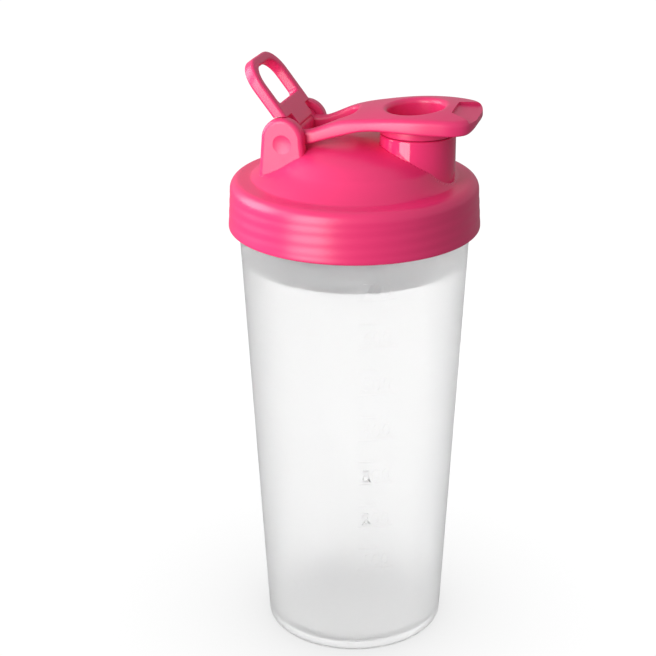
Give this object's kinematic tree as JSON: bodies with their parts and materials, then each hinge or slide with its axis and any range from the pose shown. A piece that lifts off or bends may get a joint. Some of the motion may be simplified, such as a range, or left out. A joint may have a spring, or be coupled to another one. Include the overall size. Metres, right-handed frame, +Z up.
{
  "type": "protein shaker bottle",
  "caption": "Tapered frosted shaker cup with a screw lid: domed top, drinking spout, flip cap with plug, carry loop on the same hinge, and a mixing strainer under the lid.",
  "frame": {"origin": "centre of the foot ring, on the surface that the bottle stands on", "axes": "+Z up along the bottle's axis, +X towards the drinking spout, hinge line along Y"},
  "size_m": [0.096, 0.096, 0.232],
  "materials": {
    "frosted_plastic": "frosted translucent natural polypropylene",
    "strainer_plastic": "natural polypropylene, smooth",
    "lid_plastic": "pink polypropylene, satin moulded",
    "gasket_silicone": "natural silicone, matt"
  },
  "bodies": {
    "bottle": {"bottle": "frosted_plastic"},
    "strainer": {"mixing_strainer": "strainer_plastic"},
    "lid": {"lid_shell": "lid_plastic", "lid_gasket": "gasket_silicone", "hinge_pin": "lid_plastic"},
    "cap": {"flip_cap": "lid_plastic"},
    "loop": {"carry_loop": "lid_plastic"}
  },
  "joints": [
    {"name": "lid_lift", "type": "slide", "parent": "bottle", "child": "strainer", "axis": [0, 0, 1], "range_m": [0, 0.0094]},
    {"name": "lid_turn", "type": "hinge", "parent": "strainer", "child": "lid", "pos_m": [0, 0, 0.176], "axis": [0, 0, 1], "range_deg": [0, 400]},
    {"name": "cap_hinge", "type": "hinge", "parent": "lid", "child": "cap", "pos_m": [-0.0232, 0, 0.2044], "axis": [0, -1, 0], "range_deg": [0, 52]},
    {"name": "loop_hinge", "type": "hinge", "parent": "lid", "child": "loop", "pos_m": [-0.0232, 0, 0.2044], "axis": [0, -1, 0], "range_deg": [0, 65]}
  ],
  "couplings": [
    {"joint": "lid_lift", "follows": "lid_turn", "m_per_rad": 0.0013369}
  ]
}
